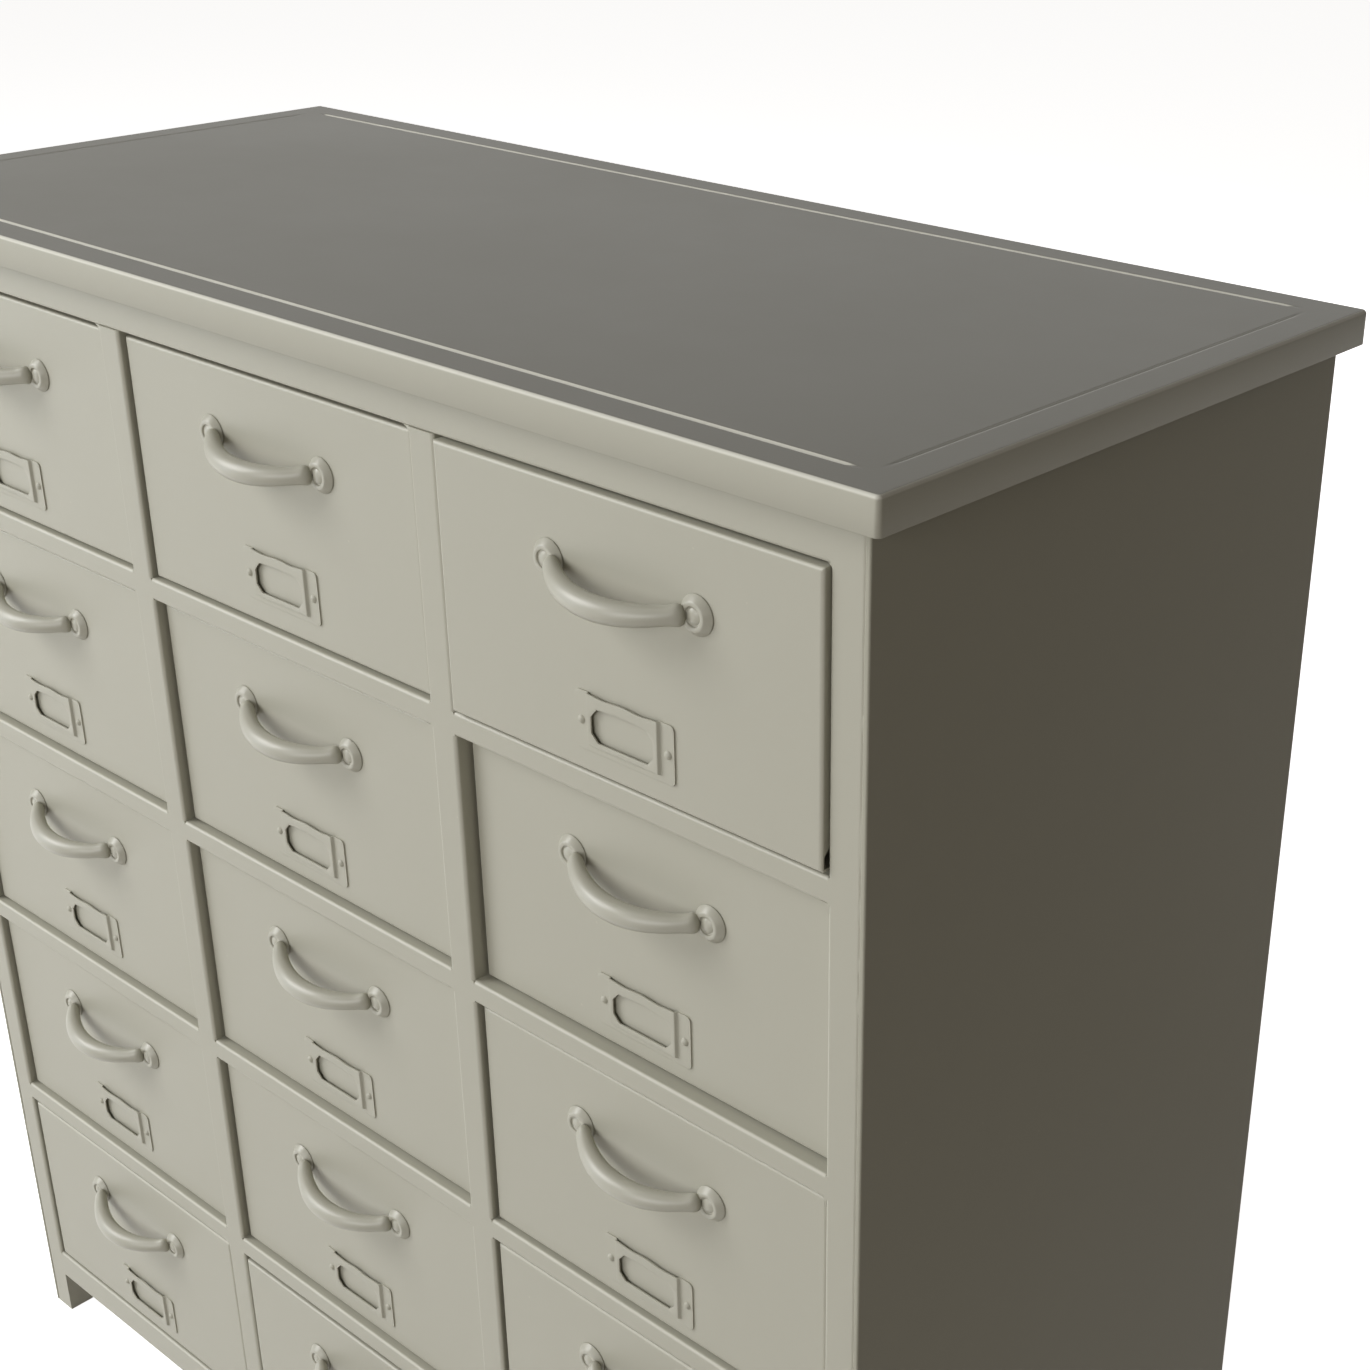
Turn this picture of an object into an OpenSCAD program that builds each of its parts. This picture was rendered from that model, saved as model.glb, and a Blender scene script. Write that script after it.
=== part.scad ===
// Metal drawer cabinet: a welded tube carcass with a face frame of fifteen openings,
// sheet sides, back and bottom, a folded top pan, and fifteen inset sheet drawers,
// each with a cast bow pull and a stamped card holder.
// Millimetres, +Z up, -Y towards the front. The origin is on the floor, midway
// across the width and midway between the foremost pull and the back of the top.

/* [Drawer openings] */
// Clear width of each drawer opening
opening_w = 240; // [200:1:320]
// Clear height of each drawer opening
opening_h = 139; // [126:1:180]

/* [Face frame] */
// Width of the corner posts, which are square tubes
post_w = 18; // [16:1:30]
// Width of the two uprights between the columns
muntin_w = 18; // [16:1:30]
// Height of the rails between the drawers
rail_h = 13; // [11:1:25]
// Height of the rail below the lowest drawers
bottom_rail_h = 22; // [18:1:45]
// Height of the rail above the topmost drawers
top_rail_h = 36; // [24:1:50]
// Wall of the frame tubes
tube_wall = 1.5; // [1.2:0.1:2]
// Rounding of the tube corners beside an opening
tube_round = 2; // [1.8:0.1:3.2]
// Radius of the weld fillet in the upper right corner of each opening
weld_fillet_r = 5; // [2:0.5:6]

/* [Carcass] */
// Depth of the carcass from the face frame to the back sheet
body_d = 350; // [300:1:450]
// Height of the feet below the bottom rail
foot_h = 32; // [20:1:80]
// Thickness of the side sheets
side_t = 2.5; // [1:0.1:3]
// Thickness of the back and bottom sheets
sheet_t = 1; // [0.8:0.1:2]
// Width of each runner bar under the drawers
runner_w = 18; // [14:1:24]
// Height of each runner bar
runner_h = 10; // [6:1:10]
// Height of the strips that guide the drawer sides
guide_h = 20; // [10:1:40]
// Height of the bars that stop the drawers at the back
stop_h = 20; // [10:1:40]
// Thickness of the guide strips and the stop bars
strip_t = 1.5; // [1:0.1:2.5]
// Length of the plugs in the feet
plug_l = 16; // [8:1:30]

/* [Top pan] */
// Overhang of the top at the front
top_overhang = 12; // [6:0.5:25]
// Overhang of the top at each side
top_side_overhang = 13.5; // [6:0.5:25]
// Height of the folded edge of the top
top_edge_h = 17; // [12:1:30]
// Thickness of the top sheet
top_t = 1.5; // [1:0.1:2]
// Outer bend radius of the top's edges
top_bend_r = 3; // [2.2:0.1:5]
// Distance of the pressed groove from the top's edges
groove_inset = 19; // [17:0.5:30]
// Width of the pressed groove
groove_w = 2.5; // [1.5:0.1:5]
// Depth of the pressed groove
groove_depth = 1.3; // [0.6:0.1:2]

/* [Drawers] */
// Gap on each side of a drawer front
front_side_gap = 2; // [1.5:0.1:3]
// Gap above a drawer front
front_top_gap = 3; // [1.5:0.1:5]
// Gap below a drawer front
front_bottom_gap = 1; // [0.6:0.1:2]
// Sheet thickness of the drawers
drawer_t = 1; // [0.8:0.1:1.5]
// Outer bend radius of the drawer front's edges
front_bend_r = 1.7; // [1.4:0.1:3]
// Depth of the returns folded back from the drawer front
front_return = 12; // [8:1:20]
// Height cut away from the side returns at their lower ends, at the front
return_notch = 6; // [3:0.5:12]
// Height of the drawer sides and back
tray_h = 108; // [60:1:115]
// Width of the narrow hem rolled inwards along the drawer's rim
hem_w = 2.5; // [2:0.5:10]
// Distance from the drawer's back to the stop tab under its floor
tab_setback = 55; // [30:1:100]
// Depth of the stop tab below the drawer's floor
tab_drop = 6; // [4:0.5:8]
// Width of the stop tab
tab_w = 40; // [20:1:80]
// How far behind the face frame a fully closed drawer front stands
closed_recess = 9.5; // [8.5:0.5:11]
// Clearance where one sliding piece carries or stops another
slide_clearance = 0.3; // [0.2:0.05:0.5]

/* [Bow pulls] */
// Distance between the centres of the two ears
pull_centres = 91; // [80:1:110]
// Height of the ear centres above the drawer opening's lower edge
pull_z = 98; // [90:0.5:104]
// Radius of each ear at the drawer front
ear_r = 9.4; // [9:0.1:12]
// Radius of each ear's face, from which its rim slopes out
ear_face_r = 7.2; // [6.4:0.1:7.8]
// Thickness of each ear
ear_t = 3.6; // [3:0.1:4.5]
// Distance of the grip's centre line from the drawer front at mid length
grip_reach = 18.5; // [15:0.5:24]
// Radius of the grip at mid length
grip_r_mid = 5.8; // [5:0.1:7]
// Radius of the grip where it runs into the ears
grip_r_end = 3.7; // [3.2:0.1:4.5]
// How far the grip hangs below the ear centres at mid length
grip_droop = 4; // [0:0.5:6]
// Distance from an ear's centre to the tip of the grip's root
root_inset = 4.8; // [4.4:0.1:7]
// Radius of the rivet heads in the ears
rivet_head_r = 3.8; // [3:0.1:4.4]
// Radius of the rivet shanks
rivet_r = 2; // [1.5:0.1:2.4]

/* [Card holders] */
// Width of the holder's base plate
holder_w = 62.4; // [56:0.2:80]
// Height of the holder's base plate
holder_h = 29.2; // [27:0.2:34]
// Height of the holder's centre above the drawer opening's lower edge
holder_z = 26.5; // [21:0.5:40]
// Width of the flat ear on each side of the raised frame
holder_ear_w = 8.6; // [7.8:0.1:10]
// Distance of the pins from the holder's side edges
pin_edge = 3.8; // [3:0.1:4.2]
// Height of the plate below the raised frame, which runs out at the plate's upper edge
holder_lip = 3.6; // [1:0.1:4]
// Width of the raised frame beside its window
window_side = 2.9; // [2:0.1:5]
// Height of the raised frame below its window
window_sill = 3; // [2:0.1:4]
// Height of the raised frame above its window
window_head = 6.6; // [5:0.1:8]
// Chamfer of the window's corners
window_chamfer = 4; // [2:0.5:5]
// Sheet thickness of the holder
holder_t = 0.8; // [0.6:0.1:1]
// Height of the raised frame's face above the drawer front
card_frame_rise = 2.4; // [2:0.1:4]
// Radius of the pin heads
pin_head_r = 2.2; // [1.8:0.1:2.6]
// Radius of the pin shanks
pin_r = 1.2; // [0.8:0.1:1.4]

/* [Hidden] */
columns = 3;
rows = 5;

// How far each drawer front stands behind the face frame as the cabinet stands, top row
// first: nothing indexes the drawers, so each rests at its own depth.
rest_recess = [
    [3.0, 3.2, -3.0],
    [5.0, 5.5, 8.0],
    [5.0, 5.8, 3.4],
    [4.5, 4.7, 2.2],
    [1.5, 0.0, 2.0]
];
proudest = -min([for (row = rest_recess) min(row)]);
// The drawer that stands proudest lies to one side of its opening and has its front
// welded on a little high. The weld in the opening's corner is dressed back to clear it.
proud_lean = 1.2;
proud_lift = 1.8;
proud_fillet_r = 2.5;

// The pulls and card holders were fitted by hand. For each drawer: how far its pull sits
// to the right, how far above pull_z, and by how many degrees its left end is raised.
pull_fit = [
    [[0.5, -0.6, 1.2], [0, 0.4, 1.4], [3.4, 1.9, 1.0]],
    [[-3, -1.1, 1.2], [-1.9, -1.1, 1.4], [-1.9, -0.6, 1.8]],
    [[1.2, 0, 1.2], [1, 0.4, 1.2], [-0.6, -1.1, 1.8]],
    [[3.5, 1.1, 0.9], [1, 0.4, 0.8], [0, 0, 0.5]],
    [[3.5, 0, 0.9], [0, 0, 0.5], [0, 0, 0.5]]
];
// The same for the card holders: to the right, and above holder_z.
holder_fit = [
    [[-1.2, 0.2], [1.8, 1.6], [2.6, 2.0]],
    [[-2.6, 0], [-1.8, -1.4], [-1.7, -1.6]],
    [[1.2, 0.7], [1.5, 0.5], [-0.2, -2.8]],
    [[2, 1.5], [0.5, 0], [0, 0]],
    [[1.2, -1.5], [0, 0], [0, 0]]
];

paint = [0.68, 0.67, 0.61];
inner_paint = [0.60, 0.59, 0.54];
plug_black = [0.13, 0.13, 0.13];

fine = 48;
eps = 0.02;
least_inner_r = 0.3;

frame_w = columns * opening_w + (columns - 1) * muntin_w + 2 * post_w;
body_w = frame_w + 2 * side_t;
tube_d = post_w;
row_pitch = opening_h + rail_h;
column_pitch = opening_w + muntin_w;
first_z = foot_h + bottom_rail_h;
openings_top = first_z + rows * opening_h + (rows - 1) * rail_h;
frame_top = openings_top + top_rail_h;
height = frame_top + groove_depth + top_t;

grip_half = pull_centres / 2 - root_inset;
grip_root = 3.8;
grip_power = 2.1;
grip_cap = 0.93;
grip_flare = 0.5;
flare_power = 10;
tip_least = 0.01;
grip_rings = 24;
grip_sides = 14;
pull_reach = grip_reach + grip_r_mid;

// The back edge of the top clears the back sheet by this much.
top_back_clearance = 0.5;
top_back = body_d + top_t + top_back_clearance;
front_y = -(top_back - max(top_overhang, proudest + pull_reach)) / 2;

stop_y = body_d - sheet_t - tube_d - strip_t;
drawer_l = stop_y - slide_clearance - closed_recess;
front_w = opening_w - 2 * front_side_gap;
front_h = opening_h - front_top_gap - front_bottom_gap;
seat_gap = 0.1;
tray_w = front_w - 2 * drawer_t - 2 * seat_gap;
floor_start = front_return + seat_gap;
wall_z = slide_clearance + drawer_t + seat_gap;
rim_z = slide_clearance + tray_h;
rivet_clearance = 0.2;
strip_gap = 0.5;

tube_inner_r = max(least_inner_r, tube_round - tube_wall);
seam_r = 1.5;
side_edge_r = 1;
weld_setback = 1;
weld_d = 8;
runner_weld_w = 6;

ear_rim_r = 1.3;
ear_edge_h = 0.5;
ear_recess_r = rivet_head_r + 0.8;
ear_recess = 1.4;
rivet_dome = 1.6;
pin_dome = 1.3;
tail_t = 1.2;
tail_ratio = 1.7;
foot_notch_r = 6;
runner_wall = 1;
plug_head_t = 2;
plug_fit = 0.05;
plug_wall = 2.5;
plate_r = 3;
hem_setback = 5;
notch_slant = 1;
groove_corner_r = 3;
tray_overlap = 5;

holder_pins = holder_w - 2 * pin_edge;
card_frame_w = holder_w - 2 * holder_ear_w;
card_frame_h = holder_h - holder_lip;
window_w = card_frame_w - 2 * window_side;
window_h = card_frame_h - window_sill - window_head;

function opening_x(col) = -frame_w / 2 + post_w + col * column_pitch;
function opening_z(row) = first_z + (rows - 1 - row) * row_pitch;
function muntin_x(i) = opening_x(i) + opening_w;
function is_proudest(row, col) = rest_recess[row][col] == -proudest;
function drawer_x(row, col) =
    opening_x(col) + opening_w / 2 + (is_proudest(row, col) ? proud_lean : 0);
function drawer_y(row, col) = front_y + rest_recess[row][col];
function piece_name(piece, row, col) = str(piece, "_r", row + 1, "c", col + 1);

DRAWER_PIECES = ["drawer", "pull", "card_holder"];

// ---- shared shapes -------------------------------------------------------------------

// Rectangle with its lower left corner at the origin and four round corners.
module round_rect(w, h, r) {
    translate([r, 0]) square([w - 2 * r, h]);
    translate([0, r]) square([w, h - 2 * r]);
    for (x = [r, w - r], y = [r, h - r]) translate([x, y]) circle(r, $fn = fine);
}

// Rectangle whose two upper corners are round.
module round_top_rect(w, h, r) {
    square([w, h - r]);
    translate([r, 0]) square([w - 2 * r, h]);
    for (x = [r, w - r]) translate([x, h - r]) circle(r, $fn = fine);
}

// What is left of a square corner outside its rounding, with the corner at the origin
// and the rounding's centre at (r, r).
module corner_waste(r) {
    difference() {
        translate([-eps, -eps]) square(r + eps);
        translate([r, r]) circle(r, $fn = fine);
    }
}

// Carries a flat outline, drawn in Y and Z, along X.
module along_x(length) {
    rotate([90, 0, 90]) linear_extrude(length) children();
}

// Carries a flat outline, drawn in X and Z, along Y.
module along_y(length) {
    translate([0, length, 0]) rotate([90, 0, 0]) linear_extrude(length) children();
}

// Turns a shape made along +Z so that it points out of the drawer front.
module facing_front() {
    rotate([90, 0, 0]) children();
}

// Section of a tube with round corners.
module round_tube(w, d) {
    difference() {
        round_rect(w, d, tube_round);
        translate([tube_wall, tube_wall])
            round_rect(w - 2 * tube_wall, d - 2 * tube_wall, tube_inner_r);
    }
}

// Section of a tube with sharp corners. Those of the face frame are dressed at the openings.
module plain_tube(w, d, wall = tube_wall) {
    difference() {
        square([w, d]);
        translate([wall, wall]) square([w - 2 * wall, d - 2 * wall]);
    }
}

// Closed block with its upper edges and its four upright corners rounded.
module bent_block(w, d, h, r, upright_r) {
    intersection() {
        translate([-w / 2, 0, 0]) linear_extrude(h) round_rect(w, d, upright_r);
        translate([-w / 2, 0, 0]) along_x(w) round_top_rect(d, h, r);
        translate([-w / 2, 0, 0]) along_y(d) round_top_rect(w, h, r);
    }
}

// Rivet along +Z: a domed head above z = 0, a shank below it and a flat tail.
module rivet(head_r, dome, shank_r, grip) {
    sphere_r = (head_r * head_r + dome * dome) / (2 * dome);
    intersection() {
        translate([0, 0, dome - sphere_r]) sphere(sphere_r, $fn = fine);
        cylinder(r = head_r + 1, h = dome + 1, $fn = fine);
    }
    translate([0, 0, -grip - tail_t]) cylinder(r = shank_r, h = grip + tail_t + eps, $fn = fine);
    translate([0, 0, -grip - tail_t])
        cylinder(r = shank_r * tail_ratio, h = tail_t, $fn = fine);
}

// ---- carcass -------------------------------------------------------------------------

// Rounding cut from a face frame tube along one side of every opening. mirrored = 0 cuts
// the corner whose opening lies to the left of x, 1 the corner whose opening is to the right.
module opening_rounds(x, mirrored) {
    for (row = [0 : rows - 1])
        translate([x, 0, opening_z(row)]) mirror([mirrored, 0, 0])
            linear_extrude(opening_h) corner_waste(tube_round);
}

module top_panel() {
    w = body_w + 2 * top_side_overhang;
    d = top_overhang + top_back;
    rib_w = groove_w + 2 * top_t;
    inner_r = max(least_inner_r, top_bend_r - top_t);
    color(paint) translate([0, front_y - top_overhang, height - top_edge_h]) difference() {
        union() {
            difference() {
                bent_block(w, d, top_edge_h, top_bend_r, top_bend_r);
                translate([0, top_t, -eps])
                    bent_block(w - 2 * top_t, d - 2 * top_t, top_edge_h - top_t + eps,
                               inner_r, inner_r);
            }
            // the pressed groove shows as a rib below the sheet, which seats on the frame
            translate([0, 0, top_edge_h - top_t - groove_depth])
                groove_ring(w, d, groove_inset - top_t, rib_w, groove_depth + eps,
                            groove_corner_r - top_t);
        }
        translate([0, 0, top_edge_h - groove_depth])
            groove_ring(w, d, groove_inset, groove_w, groove_depth + 1, groove_corner_r);
    }
}

// Rectangular ring parallel to the edges of the top. corner_r is its inner corner radius.
module groove_ring(w, d, inset, ring_w, ring_h, corner_r) {
    linear_extrude(ring_h) difference() {
        translate([inset - w / 2, inset])
            round_rect(w - 2 * inset, d - 2 * inset, corner_r + ring_w);
        translate([inset + ring_w - w / 2, inset + ring_w])
            round_rect(w - 2 * (inset + ring_w), d - 2 * (inset + ring_w), corner_r);
    }
}

// Side sheet with its outer front edge eased, cut away between the feet.
module side_panel() {
    difference() {
        linear_extrude(frame_top) difference() {
            square([side_t, body_d]);
            translate([side_t, 0]) mirror([1, 0]) corner_waste(min(side_edge_r, side_t));
        }
        translate([-1, post_w, -1]) along_x(side_t + 2)
            round_top_rect(body_d - sheet_t - 2 * post_w, foot_h + 1, foot_notch_r);
    }
}

module left_side_panel() {
    color(paint) translate([-frame_w / 2, front_y, 0]) mirror([1, 0, 0]) side_panel();
}

module right_side_panel() {
    color(paint) translate([frame_w / 2, front_y, 0]) side_panel();
}

module back_panel() {
    color(paint) translate([-frame_w / 2, front_y + body_d - sheet_t, foot_h])
        cube([frame_w, sheet_t, frame_top - foot_h]);
}

// Sheet welded under the lower rails.
module bottom_panel() {
    color(inner_paint)
        translate([post_w - frame_w / 2, front_y + tube_d / 2, foot_h - sheet_t])
            cube([frame_w - 2 * post_w, body_d - sheet_t - tube_d, sheet_t]);
}

// One front post, at the left of the frame.
module front_post() {
    difference() {
        linear_extrude(frame_top) plain_tube(post_w, tube_d);
        // the outer front corner is round, and forms a seam beside the side sheet
        translate([0, 0, -1]) linear_extrude(frame_top + 2) corner_waste(seam_r);
        opening_rounds(post_w, 1);
    }
}

module front_posts() {
    color(paint) translate([-frame_w / 2, front_y, 0]) front_post();
    color(paint) translate([frame_w / 2, front_y, 0]) mirror([1, 0, 0]) front_post();
}

module rear_posts() {
    for (x = [-frame_w / 2, frame_w / 2 - post_w])
        color(paint) translate([x, front_y + body_d - sheet_t - tube_d, 0])
            linear_extrude(frame_top) round_tube(post_w, tube_d);
}

module front_muntins() {
    for (i = [0 : columns - 2])
        color(paint) translate([muntin_x(i), front_y, 0]) difference() {
            translate([0, 0, first_z])
                linear_extrude(openings_top - first_z) plain_tube(muntin_w, tube_d);
            opening_rounds(0, 0);
            opening_rounds(muntin_w, 1);
        }
}

// Horizontal tube of the face frame. round_top and round_bottom ease its front edges.
module face_rail(length, h, round_top, round_bottom) {
    along_x(length) difference() {
        plain_tube(tube_d, h);
        if (round_bottom) corner_waste(tube_round);
        if (round_top) translate([0, h]) mirror([0, 1]) corner_waste(tube_round);
    }
}

// Weld that fills the upper right corner of an opening behind the rounded edges.
module weld_fillet(r) {
    translate([0, weld_setback, 0]) along_y(weld_d) mirror([1, 1]) difference() {
        square(r);
        translate([r, r]) circle(r, $fn = fine);
    }
}

module front_rails() {
    color(paint) translate([0, front_y, 0]) {
        inner_w = frame_w - 2 * post_w;
        translate([-inner_w / 2, 0, openings_top])
            face_rail(inner_w, top_rail_h, false, true);
        translate([-inner_w / 2, 0, foot_h])
            face_rail(inner_w, bottom_rail_h, true, true);
        for (row = [0 : rows - 1], col = [0 : columns - 1]) {
            if (row > 0)
                translate([opening_x(col), 0, opening_z(row) + opening_h])
                    face_rail(opening_w, rail_h, true, true);
            translate([opening_x(col) + opening_w, 0, opening_z(row) + opening_h])
                weld_fillet(is_proudest(row, col) ? proud_fillet_r : weld_fillet_r);
        }
    }
}

module rear_uprights() {
    for (i = [0 : columns - 2])
        color(inner_paint)
            translate([muntin_x(i), front_y + body_d - sheet_t - tube_d, first_z])
                linear_extrude(frame_top - post_w - first_z)
                    round_tube(muntin_w, tube_d);
}

module rear_rails() {
    rail_l = frame_w - 2 * post_w;
    color(inner_paint) translate([-rail_l / 2, front_y + body_d - sheet_t - tube_d, 0]) {
        translate([0, 0, foot_h]) along_x(rail_l) round_tube(tube_d, bottom_rail_h);
        translate([0, 0, frame_top - post_w])
            along_x(rail_l) round_tube(tube_d, post_w);
    }
}

// Front to back tubes. The lower ones carry the outer runner bars of the lowest drawers.
module side_rails() {
    rail_l = body_d - sheet_t - 2 * tube_d;
    for (x = [-frame_w / 2, frame_w / 2 - post_w])
        color(inner_paint) translate([x, front_y + tube_d, 0]) {
            translate([0, 0, foot_h])
                along_y(rail_l) round_tube(post_w, bottom_rail_h - runner_h);
            translate([0, 0, frame_top - post_w]) along_y(rail_l) round_tube(post_w, post_w);
        }
}

// Bars that carry the drawers, between the front frame and the rear uprights. Part of
// each bar's width is welded to the backs of the posts and muntins.
module runners() {
    bar_l = body_d - sheet_t - 2 * tube_d;
    for (row = [0 : rows - 1], col = [0 : columns - 1], side = [0, 1])
        color(inner_paint)
            translate([opening_x(col) + side * opening_w, front_y + tube_d,
                       opening_z(row) - runner_h])
                mirror([side, 0, 0]) translate([-runner_weld_w, 0, 0])
                    along_y(bar_l) plain_tube(runner_w, runner_h, runner_wall);
}

// Upright strips beside the drawers, and one bar behind each row that stops its drawers.
module guides_and_stops() {
    guide_l = stop_y - tube_d - strip_gap;
    for (row = [0 : rows - 1]) {
        for (col = [0 : columns - 1], side = [0, 1])
            color(inner_paint)
                translate([opening_x(col) + side * opening_w, front_y + tube_d, opening_z(row)])
                    mirror([side, 0, 0]) translate([-strip_t, 0, 0])
                        cube([strip_t, guide_l, guide_h]);
        color(inner_paint)
            translate([post_w / 2 - frame_w / 2, front_y + stop_y, opening_z(row)])
                cube([frame_w - post_w, strip_t, stop_h]);
    }
}

// Plugs pressed into the open lower ends of the posts, flush with the tube ends.
module foot_plugs() {
    plug_w = post_w - 2 * tube_wall - 2 * plug_fit;
    for (x = [-frame_w / 2, frame_w / 2 - post_w],
         y = [0, body_d - sheet_t - tube_d])
        color(plug_black)
            translate([x + tube_wall + plug_fit, front_y + y + tube_wall + plug_fit, 0])
                difference() {
                    linear_extrude(plug_l) round_rect(plug_w, plug_w, tube_inner_r);
                    translate([plug_w / 2, plug_w / 2, plug_head_t])
                        cylinder(r = plug_w / 2 - plug_wall, h = plug_l, $fn = fine);
                }
}

// ---- drawers: front face in the plane y = 0, opening's lower edge at z = 0 ------------

module drawer_place(row, col) {
    translate([drawer_x(row, col), drawer_y(row, col), opening_z(row)]) children();
}

module pull_place(row, col) {
    fit = pull_fit[row][col];
    translate([fit.x, 0, pull_z + fit.y]) rotate([0, fit.z, 0]) children();
}

module holder_place(row, col) {
    fit = holder_fit[row][col];
    translate([fit.x, 0, holder_z + fit.y]) children();
}

// Outline d deep along x and h high along y, with its two corners at x = 0 round.
module front_rounds(d, h, r) {
    translate([r, 0]) square([d - r, h]);
    translate([0, r]) square([d, h - 2 * r]);
    for (y = [r, h - r]) translate([r, y]) circle(r, $fn = fine);
}

// Block whose four front edges are round and meet at mitred corners.
module front_block(w, h, d, r) {
    translate([-w / 2, 0, 0]) intersection() {
        along_x(w) front_rounds(d, h, r);
        linear_extrude(h) mirror([1, -1]) front_rounds(d, w, r);
    }
}

// Front sheet with four returns. The side returns stop short of the bottom, with their
// ends cut at a slant.
module front_pan() {
    inner_r = max(least_inner_r, front_bend_r - drawer_t);
    translate([0, 0, front_bottom_gap]) difference() {
        front_block(front_w, front_h, front_return, front_bend_r);
        translate([0, drawer_t, drawer_t])
            front_block(front_w - 2 * drawer_t, front_h - 2 * drawer_t, front_return, inner_r);
        for (side = [-1, 1])
            translate([side * front_w / 2 - 2 * drawer_t, front_bend_r, drawer_t])
                along_x(4 * drawer_t) polygon([
                    [0, 0],
                    [front_return, 0],
                    [front_return, return_notch + notch_slant * front_return],
                    [0, return_notch]
                ]);
    }
}

// Side sheet of the drawer, with its outer face at x = 0. A tongue at its front end is
// welded inside the return of the front, and its rim is rolled inwards.
module side_sheet() {
    start = front_return - tray_overlap;
    tongue_z = front_bottom_gap + proud_lift + drawer_t + return_notch;
    along_x(drawer_t) polygon([
        [floor_start, wall_z],
        [drawer_l, wall_z],
        [drawer_l, rim_z],
        [start, rim_z],
        [start, tongue_z],
        [floor_start, tongue_z]
    ]);
    translate([0, start + hem_setback, rim_z - drawer_t])
        cube([hem_w, drawer_l - hem_w - seat_gap - start - hem_setback, drawer_t]);
}

// The drawer behind its front: a floor, two sides and a back, each a flat sheet, spot
// welded edge to edge, and a stop tab below the floor.
module tray() {
    back_w = tray_w - 2 * drawer_t - 2 * seat_gap;
    translate([-tray_w / 2, floor_start, slide_clearance])
        cube([tray_w, drawer_l - floor_start, drawer_t]);
    for (side = [0, 1]) mirror([side, 0, 0]) translate([-tray_w / 2, 0, 0]) side_sheet();
    translate([-back_w / 2, drawer_l - drawer_t, wall_z])
        cube([back_w, drawer_t, rim_z - wall_z]);
    translate([-back_w / 2, drawer_l - hem_w, rim_z - drawer_t])
        cube([back_w, hem_w, drawer_t]);
    translate([-tab_w / 2, drawer_l - tab_setback, slide_clearance - tab_drop])
        cube([tab_w, drawer_t, tab_drop - seat_gap]);
}

module drawer(row, col) {
    hole_depth = 4 * drawer_t;
    color(paint) drawer_place(row, col) difference() {
        union() {
            translate([0, 0, is_proudest(row, col) ? proud_lift : 0]) front_pan();
            tray();
        }
        pull_place(row, col) for (side = [-1, 1])
            translate([side * pull_centres / 2, hole_depth, 0]) facing_front()
                cylinder(r = rivet_r + rivet_clearance, h = 2 * hole_depth, $fn = fine);
        holder_place(row, col) for (side = [-1, 1])
            translate([side * holder_pins / 2, hole_depth, 0]) facing_front()
                cylinder(r = pin_r + rivet_clearance, h = 2 * hole_depth, $fn = fine);
    }
}

// ---- bow pull: ear backs in the plane y = 0, ear centres at z = 0 ---------------------

// Centre line of the grip for u from -1 at one root to 1 at the other. It bows out
// from the drawer as a power curve and hangs a little below the ears.
function grip_point(u) = [
    grip_half * u,
    -grip_root - (grip_reach - grip_root) * (1 - pow(abs(u), grip_power)),
    -grip_droop * (1 - u * u)
];

// How much taller than deep the grip is at u: it spreads where it runs into the ears.
function grip_spread(u) = 1 + grip_flare * pow(abs(u), flare_power);

// Radius of the grip at u: thick in the middle, slender at the roots, with round tips.
function grip_radius(u) =
    (grip_r_end + (grip_r_mid - grip_r_end) * (1 - u * u))
    * (abs(u) < grip_cap ? 1 : sqrt(max(tip_least, 1 - pow((abs(u) - grip_cap) / (1 - grip_cap), 2))));

function unit(v) = v / norm(v);

// One ring of points across the grip at u.
function grip_ring(u) =
    let (
        step = 0.01,
        along = unit(grip_point(u + step) - grip_point(u - step)),
        across = unit(cross([0, 0, 1], along)),
        up = cross(along, across)
    )
    [for (k = [0 : grip_sides - 1])
        let (a = 360 * k / grip_sides)
        grip_point(u) + grip_radius(u) * (cos(a) * across + sin(a) * grip_spread(u) * up)];

// Rings crowd towards the roots, where the radius changes fastest.
module grip() {
    points = [for (i = [0 : grip_rings]) each grip_ring(sin(180 * i / grip_rings - 90))];
    sides = [for (i = [0 : grip_rings - 1], k = [0 : grip_sides - 1])
        let (
            a = i * grip_sides + k,
            b = i * grip_sides + (k + 1) % grip_sides
        )
        each [[a, a + grip_sides, b], [b, a + grip_sides, b + grip_sides]]];
    first = [for (k = [0 : grip_sides - 1]) k];
    last = [for (k = [grip_sides - 1 : -1 : 0]) grip_rings * grip_sides + k];
    polyhedron(points, concat([first, last], sides));
}

// Section of an ear: a flat face, and a round rim that slopes out to the ear's edge.
module ear_section() {
    rim_x = ear_face_r - ear_rim_r;
    rim_y = ear_t - ear_rim_r;
    slope_x = ear_r - rim_x;
    slope_y = ear_edge_h - rim_y;
    touch = atan2(slope_y, slope_x) + acos(ear_rim_r / norm([slope_x, slope_y]));
    polygon([
        [0, 0],
        [ear_r, 0],
        [ear_r, ear_edge_h],
        [rim_x + ear_rim_r * cos(touch), rim_y + ear_rim_r * sin(touch)],
        [rim_x, ear_t],
        [0, ear_t]
    ]);
    translate([rim_x, rim_y]) circle(ear_rim_r, $fn = fine);
}

// Round ear with a recess for the rivet head.
module ear() {
    facing_front() difference() {
        rotate_extrude($fn = fine) ear_section();
        translate([0, 0, ear_t - ear_recess])
            cylinder(r = ear_recess_r, h = ear_recess + 1, $fn = fine);
        translate([0, 0, -1])
            cylinder(r = rivet_r + rivet_clearance, h = ear_t + 2, $fn = fine);
    }
}

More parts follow.
